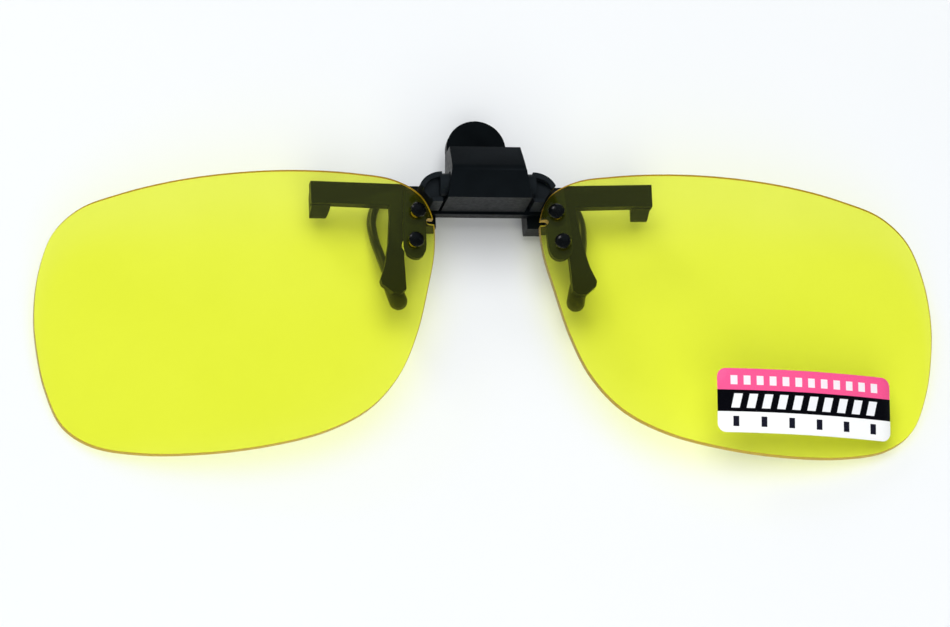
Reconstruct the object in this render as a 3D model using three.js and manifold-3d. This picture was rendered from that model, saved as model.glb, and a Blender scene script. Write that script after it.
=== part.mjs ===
// Clip-on flip-up spectacle lenses: a spring-loaded pinch clip with a flip hinge that carries a
// rimless pair of tinted polycarbonate lenses. Millimetres.
//
// Every piece is drawn in the "worn" frame: +X across the face, +Y back towards the eyes, +Z up, with
// the origin midway between the lenses at the height of the lens centres. The whole object is then laid
// on its back, as it rests on a table: fronts of the lenses up, thumb disc away from the user, standing
// on the outer lower corners of the lenses and the back of the thumb lever. +Z is up from the table and
// the origin is the middle of the object's footprint.
import * as THREE from "three";
import { mergeVertices } from "three/addons/utils/BufferGeometryUtils.js";
import Module from "manifold-3d";

const wasm = await Module();
wasm.setup();

// ---- driving dimensions -------------------------------------------------------------------------
const GAP = 0.3; // running clearance between neighbouring pieces
const OVERSHOOT = 1; // how far a cutting tool runs past the face that it cuts

// lenses
const LENS_CENTRE_X = 38;
const LENS_INNER_X = 8;
const LENS_CURVE_R = 85; // front surface radius, about base 6
const LENS_WRAP = THREE.MathUtils.degToRad(4.8);
const LENS_THICK = 1.4;

// flip hinge
const FLIP_AXIS = { y: 5.4, z: 19.6 };
const BARREL_R = 1.7;
const BARREL_FLAT = 1.45; // distance from the axis to each cam flat
const SLOT_R = BARREL_R + GAP + 0.05;

// front jaw
const JAW_FRONT = 10.2;
const JAW_THICK = 1.8;
const JAW_BACK = JAW_FRONT + JAW_THICK;
const LEG_RAKE = 0.26; // forward lean of the legs, mm per mm of drop
const CROSSBAR_BOTTOM = 16.6;
const BAR_TOP = 20.9;

// thumb lever and rear arms
const LEVER_AXIS = { y: 14.2, z: 19.9 };
const LEVER_PIN_R = 0.7;
const LUG_R = 2.0;
const LUG_INNER_X = 6.9;
const LUG_OUTER_X = 10.5;
const LUG_BOTTOM = 14.8;
const HUB_R = 1.8;
const HUB_OUTER_X = LUG_INNER_X - GAP;
const HUB_INNER_X = 3.1;
const LEVER_FRONT = 13.4;
const LEVER_THICK = 1.6;
const DISC_R = 4.55;
const DISC_Z = 27.8;
const ARM_ROD_R = 0.72;
const BOOT_R = 1.35;

// rivets, as seen on the right-hand lens
const RIVETS = [
  { level: "upper", x: 10.5, z: 15.7 },
  { level: "lower", x: 11.1, z: 10.8 },
];
const RIVET_SHANK_R = 0.6;
const RIVET_HEAD_R = 1.25;

// how the object lies on a table: local +Y (back) ends up down, tipped by the clip under the lens tops
const LYING_TILT = THREE.MathUtils.degToRad(-80.6);

// ---- materials ----------------------------------------------------------------------------------
const blackPlastic = () => new THREE.MeshStandardMaterial({ color: 0x14171a, roughness: 0.45, metalness: 0 });
const steel = () => new THREE.MeshStandardMaterial({ color: 0xb8bcc0, roughness: 0.3, metalness: 1 });
const blackWire = () => new THREE.MeshStandardMaterial({ color: 0x1d2126, roughness: 0.3, metalness: 0.5 });
const rubber = () => new THREE.MeshStandardMaterial({ color: 0x17181a, roughness: 0.8, metalness: 0 });
const labelPaper = () => new THREE.MeshStandardMaterial({ color: 0xe8e6e8, roughness: 0.5, metalness: 0 });
const clearPlastic = () => new THREE.MeshStandardMaterial({ color: 0xd8d4c8, roughness: 0.3, metalness: 0 });
const yellowTint = () =>
  new THREE.MeshStandardMaterial({ color: 0xe3f02e, roughness: 0.05, metalness: 0, transparent: true, opacity: 0.55 });

// ---- helpers ------------------------------------------------------------------------------------
// A closed geometry as a solid that can be joined and cut.
function solid(geometry) {
  const bare = new THREE.BufferGeometry().setAttribute("position", geometry.getAttribute("position").clone());
  if (geometry.index) bare.setIndex(geometry.index.clone());
  const merged = mergeVertices(bare, 1e-4);
  const made = new wasm.Manifold(
    new wasm.Mesh({
      numProp: 3,
      vertProperties: merged.attributes.position.array,
      triVerts: new Uint32Array(merged.index.array),
    }),
  );
  if (made.volume() < 0) throw new Error("a solid is inside out");
  return made;
}

function geometryOf(manifold) {
  const mesh = manifold.getMesh();
  return new THREE.BufferGeometry()
    .setAttribute("position", new THREE.BufferAttribute(new Float32Array(mesh.vertProperties), 3))
    .setIndex(new THREE.BufferAttribute(new Uint32Array(mesh.triVerts), 1));
}

function join(...solids) {
  return solids.reduce((whole, next) => whole.add(next));
}

// Box between two corners.
function block([x0, y0, z0], [x1, y1, z1]) {
  const box = new THREE.BoxGeometry(x1 - x0, y1 - y0, z1 - z0);
  box.translate((x0 + x1) / 2, (y0 + y1) / 2, (z0 + z1) / 2);
  return solid(box);
}

// Outline in the X-Z plane, given as [x, z] points, swept along +Y from y0 to y1.
function frontOutline(points, y0, y1, bevel = 0) {
  const shape = points instanceof THREE.Shape ? points : new THREE.Shape(points.map(([x, z]) => new THREE.Vector2(x, -z)));
  const sweep = new THREE.ExtrudeGeometry(shape, {
    depth: y1 - y0 - 2 * bevel,
    bevelEnabled: bevel > 0,
    bevelSize: bevel,
    bevelThickness: bevel,
    bevelOffset: -bevel,
    bevelSegments: 2,
    curveSegments: 10,
  });
  sweep.rotateX(-Math.PI / 2);
  sweep.translate(0, y0 + bevel, 0);
  return sweep;
}

// Outline in the Y-Z plane, given as [y, z] points, swept along +X from x0 to x1.
function sideOutline(points, x0, x1, bevel = 0) {
  const shape = new THREE.Shape(points.map(([y, z]) => new THREE.Vector2(y, z)));
  const sweep = new THREE.ExtrudeGeometry(shape, {
    depth: x1 - x0 - 2 * bevel,
    bevelEnabled: bevel > 0,
    bevelSize: bevel,
    bevelThickness: bevel,
    bevelOffset: -bevel,
    bevelSegments: 2,
    curveSegments: 10,
  });
  // shape x -> world y, shape y -> world z, depth -> world x
  sweep.applyMatrix4(new THREE.Matrix4().set(0, 0, 1, x0 + bevel, 1, 0, 0, 0, 0, 1, 0, 0, 0, 0, 0, 1));
  return sweep;
}

// Cylinder along X between x0 and x1, centred on an axis point {y, z}.
function barAlongX(radius, x0, x1, axis, sides = 28) {
  const bar = new THREE.CylinderGeometry(radius, radius, x1 - x0, sides);
  bar.rotateZ(Math.PI / 2);
  bar.translate((x0 + x1) / 2, axis.y, axis.z);
  return solid(bar);
}

function mirrored(manifold) {
  return manifold.scale([-1, 1, 1]);
}

function polygon(radius, sides) {
  const corner = (k) => new THREE.Vector2(radius, 0).rotateAround(new THREE.Vector2(0, 0), (2 * Math.PI * k) / sides);
  return new THREE.Shape(Array.from({ length: sides }, (_, k) => corner(k)));
}

function roundedRectangle(width, height, radius) {
  const shape = new THREE.Shape();
  const w = width / 2;
  const h = height / 2;
  shape.moveTo(-w + radius, -h);
  shape.lineTo(w - radius, -h);
  shape.absarc(w - radius, -h + radius, radius, -Math.PI / 2, 0);
  shape.lineTo(w, h - radius);
  shape.absarc(w - radius, h - radius, radius, 0, Math.PI / 2);
  shape.lineTo(-w + radius, h);
  shape.absarc(-w + radius, h - radius, radius, Math.PI / 2, Math.PI);
  shape.lineTo(-w, -h + radius);
  shape.absarc(-w + radius, -h + radius, radius, Math.PI, 1.5 * Math.PI);
  return shape;
}

// ---- lens surface -------------------------------------------------------------------------------
// Depth of the front surface of either lens at (x, z).
function lensFront(x, z) {
  const across = Math.abs(x) - LENS_CENTRE_X;
  return (across ** 2 + z ** 2) / (2 * LENS_CURVE_R) + Math.tan(LENS_WRAP) * (Math.abs(x) - LENS_INNER_X);
}

// Unit normal of the front surface, pointing back, on the right-hand side.
function lensNormal(x, z) {
  const slopeX = (x - LENS_CENTRE_X) / LENS_CURVE_R + Math.tan(LENS_WRAP);
  const slopeZ = z / LENS_CURVE_R;
  return new THREE.Vector3(-slopeX, 1, -slopeZ).normalize();
}

// Bends a flat piece drawn around y = 0 onto the lens surface.
function drape(geometry) {
  const position = geometry.getAttribute("position");
  for (let i = 0; i < position.count; i += 1) {
    position.setY(i, position.getY(i) + lensFront(position.getX(i), position.getZ(i)));
  }
  return geometry;
}

// Outline of the right-hand lens, seen from the front: a soft four-cornered shape, flat along the top,
// fuller towards the outer lower corner and cut away beside the nose.
const LENS_OUTLINE = [
  [67.5, 0.5], [66.6, 7.2], [64.4, 12.9], [60.4, 16.5], [54.6, 18.4], [47.0, 20.0],
  [38.0, 21.1], [28.5, 21.6], [19.5, 21.4], [13.6, 20.7], [9.8, 18.6], [8.1, 15.0],
  [8.1, 9.8], [9.5, 3.2], [11.5, -4.0], [14.3, -10.1], [18.7, -15.1], [25.1, -18.6],
  [33.6, -20.8], [43.0, -21.8], [52.4, -21.5], [59.5, -19.8], [63.7, -16.6], [66.1, -11.0], [67.2, -5.2],
];

function lensOutlinePoints(count, grow = 0) {
  const curve = new THREE.CatmullRomCurve3(
    LENS_OUTLINE.map(([x, z]) => new THREE.Vector3(x, 0, z)),
    true,
    "centripetal",
  );
  const points = curve.getSpacedPoints(count).slice(0, count);
  return points.map((p, i) => {
    const before = points[(i + count - 1) % count];
    const after = points[(i + 1) % count];
    const along = new THREE.Vector3().subVectors(after, before).normalize();
    // the outline runs anticlockwise seen from the front, so its outward side is on the right
    return [p.x + along.z * grow, p.z - along.x * grow];
  });
}

// A curved plate between two depths behind the front surface, bounded by an anticlockwise outline.
function curvedPlate(outline, [centreX, centreZ], frontOffset, backOffset) {
  const segments = outline.length;
  const rings = [0.3, 0.6, 0.85, 1];
  const vertices = [];
  const push = (x, z, offset) => vertices.push(x, lensFront(x, z) + offset, z);
  for (const offset of [frontOffset, backOffset]) {
    push(centreX, centreZ, offset);
    for (const ring of rings) {
      for (const [x, z] of outline) push(centreX + (x - centreX) * ring, centreZ + (z - centreZ) * ring, offset);
    }
  }
  const perSide = 1 + rings.length * segments;
  const at = (side, ring, i) => side * perSide + 1 + ring * segments + (i % segments);
  const triangles = [];
  for (let i = 0; i < segments; i += 1) {
    triangles.push(0, at(0, 0, i), at(0, 0, i + 1));
    triangles.push(perSide, at(1, 0, i + 1), at(1, 0, i));
    for (let ring = 1; ring < rings.length; ring += 1) {
      triangles.push(at(0, ring - 1, i), at(0, ring, i), at(0, ring, i + 1));
      triangles.push(at(0, ring - 1, i), at(0, ring, i + 1), at(0, ring - 1, i + 1));
      triangles.push(at(1, ring - 1, i), at(1, ring, i + 1), at(1, ring, i));
      triangles.push(at(1, ring - 1, i), at(1, ring - 1, i + 1), at(1, ring, i + 1));
    }
    const rim = rings.length - 1;
    triangles.push(at(0, rim, i), at(1, rim, i), at(1, rim, i + 1));
    triangles.push(at(0, rim, i), at(1, rim, i + 1), at(0, rim, i + 1));
  }
  return new THREE.BufferGeometry()
    .setAttribute("position", new THREE.Float32BufferAttribute(vertices, 3))
    .setIndex(triangles);
}

function lensPlate(frontOffset, backOffset, grow, segments) {
  return curvedPlate(lensOutlinePoints(segments, grow), [LENS_CENTRE_X, 0], frontOffset, backOffset);
}

// Cylinder or lathe profile set on a rivet's axis: local +Y runs back along the lens normal.
function onRivetAxis(geometry, rivet) {
  const normal = lensNormal(rivet.x, rivet.z);
  geometry.applyQuaternion(new THREE.Quaternion().setFromUnitVectors(new THREE.Vector3(0, 1, 0), normal));
  geometry.translate(rivet.x, lensFront(rivet.x, rivet.z), rivet.z);
  return geometry;
}

function rivetBore(rivet, radius, from, to) {
  const bore = new THREE.CylinderGeometry(radius, radius, to - from, 20);
  bore.translate(0, (from + to) / 2, 0);
  return solid(onRivetAxis(bore, rivet));
}

// ---- lens pair ----------------------------------------------------------------------------------
const LENS_SEGMENTS = 72;
const NOTCH = { z: 14.2, height: 0.9, depth: 1.2 };

function makeLens() {
  let lens = solid(lensPlate(0, LENS_THICK, 0, LENS_SEGMENTS));
  for (const rivet of RIVETS) lens = lens.subtract(rivetBore(rivet, RIVET_SHANK_R + GAP, -OVERSHOOT, LENS_THICK + OVERSHOOT));
  // small slot in the nasal edge beside the upper rivet
  const notch = block(
    [LENS_INNER_X - OVERSHOOT, 0, NOTCH.z - NOTCH.height / 2],
    [LENS_INNER_X + NOTCH.depth, 12, NOTCH.z + NOTCH.height / 2],
  );
  return lens.subtract(notch);
}

// Printed label, bent onto the front of one lens.
const LABEL = { x: 46.35, z: -13.95, width: 27.1, height: 9.4, corner: 1.3, lift: 0.12, thick: 0.15 };

function makeLabel() {
  const corner = roundedRectangle(LABEL.width, LABEL.height, LABEL.corner);
  const outline = corner.getSpacedPoints(48).slice(0, 48).map((p) => [LABEL.x + p.x, LABEL.z + p.y]);
  return solid(curvedPlate(outline, [LABEL.x, LABEL.z], -LABEL.lift - LABEL.thick, -LABEL.lift));
}

// Rivet: domed head in front of the lens, shank through lens and carrier, upset tail behind.
const CARRIER_THICK = 1.1;
const STACK_BACK = 2.68; // back of the carrier plate, measured along the rivet from the lens front
const WASHER_RECESS = 0.5;

function makeRivet(rivet) {
  const headTop = -1.15;
  const tailStart = STACK_BACK - WASHER_RECESS + 0.25 + 2 * GAP;
  const tailEnd = tailStart + 0.45;
  const profile = [
    [0, headTop], [0.5, headTop + 0.06], [0.95, headTop + 0.28], [1.18, headTop + 0.55], [RIVET_HEAD_R, -GAP - 0.12],
    [RIVET_HEAD_R - 0.1, -GAP], [RIVET_SHANK_R, -GAP], [RIVET_SHANK_R, tailStart], [0.95, tailStart],
    [0.95, tailStart + 0.2], [0.6, tailEnd], [0, tailEnd],
  ];
  const lathe = new THREE.LatheGeometry(profile.map(([r, y]) => new THREE.Vector2(r, y)), 20);
  return solid(onRivetAxis(lathe, rivet));
}

function makeWasher(rivet) {
  const front = STACK_BACK - WASHER_RECESS + GAP;
  const ring = [
    [RIVET_SHANK_R + GAP, front], [1.3, front], [1.3, front + 0.25], [RIVET_SHANK_R + GAP, front + 0.25],
    [RIVET_SHANK_R + GAP, front],
  ];
  const lathe = new THREE.LatheGeometry(ring.map(([r, y]) => new THREE.Vector2(r, y)), 20);
  return solid(onRivetAxis(lathe, rivet));
}

// Carrier between the lenses: cam barrel in the hinge box, two shoulders, two riveted straps.
function makeLensBridge() {
  const strapOutline = [
    [8.9, 17.6], [9.2, 13.6], [9.3, 10.6], [9.6, 9.2], [10.4, 8.5], [11.4, 8.4],
    [12.3, 8.9], [12.8, 9.9], [12.7, 13.6], [12.3, 17.6], [12.1, 19.9], [10.4, 20.0], [9.0, 19.6],
  ];
  const strapFront = LENS_THICK + GAP;
  const strap = solid(drape(frontOutline(strapOutline, strapFront, strapFront + CARRIER_THICK)));

  const shoulderFront = 4.3;
  const shoulderBack = 9.75;
  const shoulderTop = 21.35;
  const shoulder = new THREE.Shape();
  shoulder.moveTo(6.85, -16.7);
  shoulder.lineTo(9.4, -16.7);
  shoulder.lineTo(10.5, -17.6);
  shoulder.quadraticCurveTo(10.6, -19.4, 9.3, -20.5);
  shoulder.quadraticCurveTo(8.2, -shoulderTop, 6.85, -shoulderTop);
  shoulder.closePath();
  let ear = solid(frontOutline(shoulder, shoulderFront, shoulderBack));
  // dished pocket inside a raised rim
  const pocket = new THREE.Shape();
  pocket.moveTo(6.0, -17.3);
  pocket.lineTo(9.1, -17.3);
  pocket.lineTo(9.7, -18.0);
  pocket.quadraticCurveTo(9.7, -19.1, 8.8, -19.9);
  pocket.quadraticCurveTo(8.0, -20.6, 6.0, -20.6);
  pocket.closePath();
  ear = ear.subtract(solid(frontOutline(pocket, shoulderFront - OVERSHOOT, shoulderFront + 1.1)));
  // rounded about the hinge axis, so that it clears the jaw as it turns
  ear = ear.intersect(barAlongX(4.55, 6, 12, FLIP_AXIS, 40));
  // room for the lens edge
  ear = ear.subtract(solid(lensPlate(-12, LENS_THICK + GAP, GAP, LENS_SEGMENTS)));

  let half = join(ear, strap);
  for (const rivet of RIVETS) {
    half = half.subtract(rivetBore(rivet, RIVET_SHANK_R + GAP, 0, 6));
    half = half.subtract(rivetBore(rivet, 1.3 + GAP, STACK_BACK - WASHER_RECESS, 6));
  }

  const barrel = barAlongX(BARREL_R, -7.2, 7.2, FLIP_AXIS);
  const flats = [0, 1, 2, 3].map((quarter) => {
    const cut = new THREE.BoxGeometry(8.4, 1, 6);
    cut.translate(0, BARREL_FLAT + 0.5, 0);
    cut.rotateX((quarter * Math.PI) / 2);
    cut.translate(0, FLIP_AXIS.y, FLIP_AXIS.z);
    return solid(cut);
  });
  const cam = flats.reduce((rest, cut) => rest.subtract(cut), barrel);
  return join(cam, half, mirrored(half));
}

// ---- clip body ----------------------------------------------------------------------------------
// Front jaw: crossbar, two arms ending in hooks, two raked legs with flared pads, two hinge lugs.
function makeFrontJaw() {
  const barOutline = [
    [0, CROSSBAR_BOTTOM], [10.6, CROSSBAR_BOTTOM], [11.2, 17.5], [22.6, 17.9], [25.8, 17.9],
    [25.8, 21.3], [11, BAR_TOP], [0, BAR_TOP],
  ];
  const bar = solid(frontOutline(barOutline, JAW_FRONT, JAW_BACK, 0.2));

  // hook: runs back and slightly down from the end of the arm, tapering to a rounded tip
  const hookOutline = [
    [JAW_FRONT + 0.3, 17.9], [JAW_BACK, 17.5], [13.4, 16.9], [14.6, 16.8], [15.1, 17.3],
    [15.1, 18.2], [14.2, 19.9], [13.1, 20.9], [JAW_BACK, 21.2], [JAW_FRONT + 0.3, 21.1],
  ];
  const hook = solid(sideOutline(hookOutline, 22.8, 25.6, 0.25));

  // leg: drawn flat, then leaned forward towards its foot
  const legOutline = [
    [11.5, 19.5], [14.2, 19.5], [14.15, 16.2], [14.7, 11.5], [15.5, 7.6], [16.35, 5.3], [16.15, 4.5],
    [14.6, 3.1], [13.4, 3.0], [12.6, 3.7], [12.55, 9.0], [12.1, 14.0],
  ];
  const legGeometry = frontOutline(legOutline, JAW_FRONT, JAW_FRONT + 1.5, 0.2);
  const position = legGeometry.getAttribute("position");
  for (let i = 0; i < position.count; i += 1) {
    const drop = Math.max(0, CROSSBAR_BOTTOM - position.getZ(i));
    position.setY(i, position.getY(i) - LEG_RAKE * drop);
  }
  const leg = solid(legGeometry);

  const lugFoot = LEVER_AXIS.y + LUG_R - 1.2;
  const lugProfile = new THREE.Shape();
  lugProfile.moveTo(JAW_BACK - 0.6, LUG_BOTTOM);
  lugProfile.lineTo(lugFoot, LUG_BOTTOM);
  lugProfile.absarc(lugFoot, LUG_BOTTOM + 0.6, 0.6, -Math.PI / 2, 0);
  lugProfile.lineTo(LEVER_AXIS.y + LUG_R, LEVER_AXIS.z - 1.5);
  lugProfile.absarc(LEVER_AXIS.y, LEVER_AXIS.z, LUG_R, 0, Math.PI / 2);
  lugProfile.lineTo(JAW_BACK - 0.6, BAR_TOP);
  const lug = solid(sideOutline(lugProfile.getPoints(8).map((p) => [p.x, p.y]), LUG_INNER_X, LUG_OUTER_X));

  const half = join(bar, hook, leg, lug);
  const whole = join(half, mirrored(half));
  return whole.subtract(barAlongX(LEVER_PIN_R + GAP, -LUG_OUTER_X - OVERSHOOT, LUG_OUTER_X + OVERSHOOT, LEVER_AXIS, 24));
}

// Hinge cover: box with a sloping roof, hollow towards the jaw, slotted for the cam barrel.
const COVER_BACK = JAW_FRONT - GAP;

function makeHingeCover() {
  const profile = [[2.8, 16.9], [2.35, 21.0], [2.85, 22.1], [5.6, 25.7], [COVER_BACK, 25.7], [COVER_BACK, 16.9]];
  const body = solid(sideOutline(profile, -6.5, 6.5, 0.25));
  // sides draw in towards the roof
  const taperOutline = [[-6.45, 16], [-5.55, 21.6], [-5.3, 26.5], [5.3, 26.5], [5.55, 21.6], [6.45, 16]];
  let cover = body.intersect(solid(frontOutline(taperOutline, 0, 12)));
  cover = cover.subtract(block([-4.3, FLIP_AXIS.y - SLOT_R, 17.55], [4.3, COVER_BACK + OVERSHOOT, 22.55]));
  cover = cover.subtract(barAlongX(SLOT_R, -8, 8, FLIP_AXIS));
  cover = cover.subtract(
    block([-8, FLIP_AXIS.y, FLIP_AXIS.z - SLOT_R], [8, COVER_BACK + OVERSHOOT, FLIP_AXIS.z + SLOT_R]),
  );
  return cover;
}

// Leaf spring over the cam: a bowed strip whose middle presses on the flat of the barrel.
function makeDetentSpring() {
  const length = 5.6;
  const stripThick = 0.25;
  const bow = 0.3;
  const steps = 8;
  const lower = [];
  const upper = [];
  for (let i = 0; i <= steps; i += 1) {
    const along = i / steps;
    const y = FLIP_AXIS.y + (along - 0.5) * length + 0.9;
    const z = FLIP_AXIS.z + BARREL_R + GAP + 0.05 + bow * (2 * along - 1) ** 2;
    lower.push([y, z]);
    upper.unshift([y, z + stripThick]);
  }
  return solid(sideOutline([...lower, ...upper], -3.2, 3.2));
}

function makeLeverPin() {
  return barAlongX(LEVER_PIN_R, -LUG_OUTER_X + 0.1, LUG_OUTER_X - 0.1, LEVER_AXIS, 20);
}

// Torsion spring coiled on the lever pin between the two hub knuckles: one leg runs up the front of the
// lever's neck, the other down the back of the crossbar.
function makeTorsionSpring() {
  const wire = 0.28;
  const sides = 6;
  const coilR = LEVER_PIN_R + GAP + wire + 0.12;
  const turns = 4;
  const pitch = 0.9;
  const stepsPerTurn = 12;
  const start = -(turns * pitch) / 2;
  const front = LEVER_AXIS.y - coilR;
  const points = [
    new THREE.Vector3(start, front, LEVER_AXIS.z + 4.2),
    new THREE.Vector3(start, front, LEVER_AXIS.z + 1.8),
  ];
  for (let i = 0; i <= turns * stepsPerTurn; i += 1) {
    const turned = (i / stepsPerTurn) * 2 * Math.PI;
    const x = start + (i / stepsPerTurn) * pitch;
    points.push(new THREE.Vector3(x, LEVER_AXIS.y - coilR * Math.cos(turned), LEVER_AXIS.z - coilR * Math.sin(turned)));
  }
  points.push(new THREE.Vector3(-start, front, LEVER_AXIS.z - 1.6));
  points.push(new THREE.Vector3(-start, front, LEVER_AXIS.z - 2.8));
  const path = new THREE.CatmullRomCurve3(points, false, "centripetal");
  return solid(new THREE.ExtrudeGeometry(polygon(wire, sides), { extrudePath: path, steps: 84, bevelEnabled: false }));
}

// ---- rear jaw -----------------------------------------------------------------------------------
// Thumb lever: round press disc, neck, cross beam for the rear arms, two knuckles on the pin.
const BEAM = { y0: LEVER_FRONT, y1: 18.1, z0: 20.3, z1: 22.7 };
const ROD_SOCKET = { y: 17.0, z: 21.5, depth: 3.4 };

function makeThumbLever() {
  const disc = new THREE.Shape();
  disc.absarc(0, -DISC_Z, DISC_R, 0, 2 * Math.PI);
  let lever = solid(frontOutline(disc, LEVER_FRONT, LEVER_FRONT + LEVER_THICK, 0.3));
  const neck = [
    [-HUB_OUTER_X + 0.4, BEAM.z0], [HUB_OUTER_X - 0.4, BEAM.z0], [HUB_OUTER_X - 0.4, BEAM.z1],
    [3.6, 24.4], [3.3, 26], [-3.3, 26], [-3.6, 24.4], [-HUB_OUTER_X + 0.4, BEAM.z1],
  ];
  lever = lever.add(solid(frontOutline(neck, LEVER_FRONT, LEVER_FRONT + LEVER_THICK)));
  const beam = solid(
    sideOutline([[BEAM.y0, BEAM.z0], [BEAM.y1 - 0.5, BEAM.z0], [BEAM.y1, BEAM.z0 + 0.5], [BEAM.y1, BEAM.z1 - 0.5],
      [BEAM.y1 - 0.5, BEAM.z1], [BEAM.y0, BEAM.z1]], -HUB_OUTER_X, HUB_OUTER_X),
  );
  lever = lever.add(beam);
  for (const side of [-1, 1]) {
    const x0 = side > 0 ? HUB_INNER_X : -HUB_OUTER_X;
    const x1 = side > 0 ? HUB_OUTER_X : -HUB_INNER_X;
    const knuckle = barAlongX(HUB_R, x0, x1, LEVER_AXIS);
    const web = block([x0, LEVER_FRONT, LEVER_AXIS.z], [x1, LEVER_FRONT + 2.2, BEAM.z0 + 0.9]);
    lever = join(lever, knuckle, web);
  }
  lever = lever.subtract(barAlongX(LEVER_PIN_R + GAP, -8, 8, LEVER_AXIS, 24));
  // room for the coiled spring between the knuckles
  lever = lever.subtract(block([-HUB_INNER_X, 11, LEVER_AXIS.z - 4], [HUB_INNER_X, 16.3, LEVER_AXIS.z + 2]));
  for (const side of [-1, 1]) {
    const mouth = side * (HUB_OUTER_X + OVERSHOOT);
    const bottom = side * (HUB_OUTER_X - ROD_SOCKET.depth);
    lever = lever.subtract(barAlongX(ARM_ROD_R + GAP, Math.min(mouth, bottom), Math.max(mouth, bottom), ROD_SOCKET, 20));
  }
  return lever;
}

// Rear arm: round wire out of the lever, over the top, bowed back round the spectacle lens and
// forward again to the foot.
const ARM_ROUTE = [
  [HUB_OUTER_X - ROD_SOCKET.depth + GAP, ROD_SOCKET.y, ROD_SOCKET.z],
  [9.5, ROD_SOCKET.y, ROD_SOCKET.z],
  [12.6, 17.0, 21.4],
  [14.8, 16.9, 20.1],
  [15.9, 16.4, 17.4],
  [15.9, 15.3, 14.4],
  [15.25, 13.4, 10.6],
  [14.25, 11.2, 6.0],
  [13.5, 9.9, 2.95],
];
const ARM_SIDES = 10;

function makeRearArm() {
  const path = new THREE.CatmullRomCurve3(ARM_ROUTE.map((p) => new THREE.Vector3(...p)), false, "centripetal");
  return solid(new THREE.ExtrudeGeometry(polygon(ARM_ROD_R, ARM_SIDES), { extrudePath: path, steps: 36, bevelEnabled: false }));
}

// Rubber boot: thimble over the end of the rear arm.
const BOOT_LENGTH = 5.0;

function makeBoot() {
  const end = new THREE.Vector3(...ARM_ROUTE[ARM_ROUTE.length - 1]);
  const before = new THREE.Vector3(...ARM_ROUTE[ARM_ROUTE.length - 2]);
  const up = new THREE.Vector3().subVectors(before, end).normalize();
  const bore = ARM_ROD_R + GAP;
  const profile = [[0, -BOOT_R - GAP]];
  for (let k = 1; k <= 6; k += 1) {
    const angle = (k / 6) * (Math.PI / 2);
    profile.push([BOOT_R * Math.sin(angle), -GAP - BOOT_R * Math.cos(angle)]);
  }
  profile.push([BOOT_R - 0.05, BOOT_LENGTH * 0.7], [BOOT_R - 0.2, BOOT_LENGTH - 1.5], [bore, BOOT_LENGTH - 1.5], [bore, -GAP], [0, -GAP]);
  const lathe = new THREE.LatheGeometry(profile.map(([r, y]) => new THREE.Vector2(r, y)), 18);
  lathe.applyQuaternion(new THREE.Quaternion().setFromUnitVectors(new THREE.Vector3(0, 1, 0), up));
  lathe.translate(end.x, end.y, end.z);
  return solid(lathe);
}

// ---- assembly -----------------------------------------------------------------------------------
const worn = new THREE.Group();

function addPiece(name, manifold, material) {
  const mesh = new THREE.Mesh(geometryOf(manifold), material);
  mesh.name = name;
  worn.add(mesh);
}

addPiece("front_jaw", makeFrontJaw(), blackPlastic());
addPiece("hinge_cover", makeHingeCover(), blackPlastic());
addPiece("detent_leaf_spring", makeDetentSpring(), steel());
addPiece("lever_pin", makeLeverPin(), steel());
addPiece("torsion_spring", makeTorsionSpring(), steel());
addPiece("thumb_lever", makeThumbLever(), blackPlastic());
addPiece("lens_bridge", makeLensBridge(), blackPlastic());
addPiece("lens_label", makeLabel(), labelPaper());

const lens = makeLens();
const rearArm = makeRearArm();
const boot = makeBoot();
for (const [side, place] of [["right", (s) => s], ["left", mirrored]]) {
  addPiece(`lens_${side}`, place(lens), yellowTint());
  addPiece(`rear_arm_${side}`, place(rearArm), blackWire());
  addPiece(`grip_boot_${side}`, place(boot), rubber());
  for (const rivet of RIVETS) {
    addPiece(`rivet_${rivet.level}_${side}`, place(makeRivet(rivet)), blackPlastic());
    addPiece(`rivet_washer_${rivet.level}_${side}`, place(makeWasher(rivet)), clearPlastic());
  }
}

// Lay the object on its back and set the middle of its footprint on the origin.
worn.rotation.x = LYING_TILT;
const group = new THREE.Group();
group.add(worn);
group.updateMatrixWorld(true);
const bounds = new THREE.Box3().setFromObject(group, true);
const middle = bounds.getCenter(new THREE.Vector3());
worn.position.set(-middle.x, -middle.y, -bounds.min.z);

export default group;
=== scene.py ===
"""Clip-on flip-up lenses: the detailed visual model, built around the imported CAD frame.

Shapes are drawn in the "worn" frame of the CAD source (millimetres, +X across the face, +Y back
towards the eyes, +Z up) and then laid down into the part's own frame in metres.
"""
import contextlib
import math

import bmesh
import bpy
from mathutils import Matrix, Vector


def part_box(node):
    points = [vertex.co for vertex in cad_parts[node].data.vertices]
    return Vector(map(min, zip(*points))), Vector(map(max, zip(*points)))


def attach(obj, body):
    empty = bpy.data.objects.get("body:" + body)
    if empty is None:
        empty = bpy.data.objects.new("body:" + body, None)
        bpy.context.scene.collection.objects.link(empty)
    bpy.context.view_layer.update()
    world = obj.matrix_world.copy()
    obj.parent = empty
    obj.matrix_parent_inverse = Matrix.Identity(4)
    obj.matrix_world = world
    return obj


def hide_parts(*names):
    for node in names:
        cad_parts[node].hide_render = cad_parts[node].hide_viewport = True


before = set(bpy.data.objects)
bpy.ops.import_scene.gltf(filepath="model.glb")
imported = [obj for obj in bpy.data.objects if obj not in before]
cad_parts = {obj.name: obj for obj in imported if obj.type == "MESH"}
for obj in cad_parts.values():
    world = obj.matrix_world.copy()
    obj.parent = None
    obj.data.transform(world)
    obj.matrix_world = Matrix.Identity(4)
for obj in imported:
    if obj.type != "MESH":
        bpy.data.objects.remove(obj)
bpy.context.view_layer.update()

# ---- driving dimensions (mm, worn frame) -----------------------------------------------------------
GAP = 0.3
CUT_PAST = 1.0  # how far a cutter stands past what it cuts
LYING_TILT = math.radians(-80.6)
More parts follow.
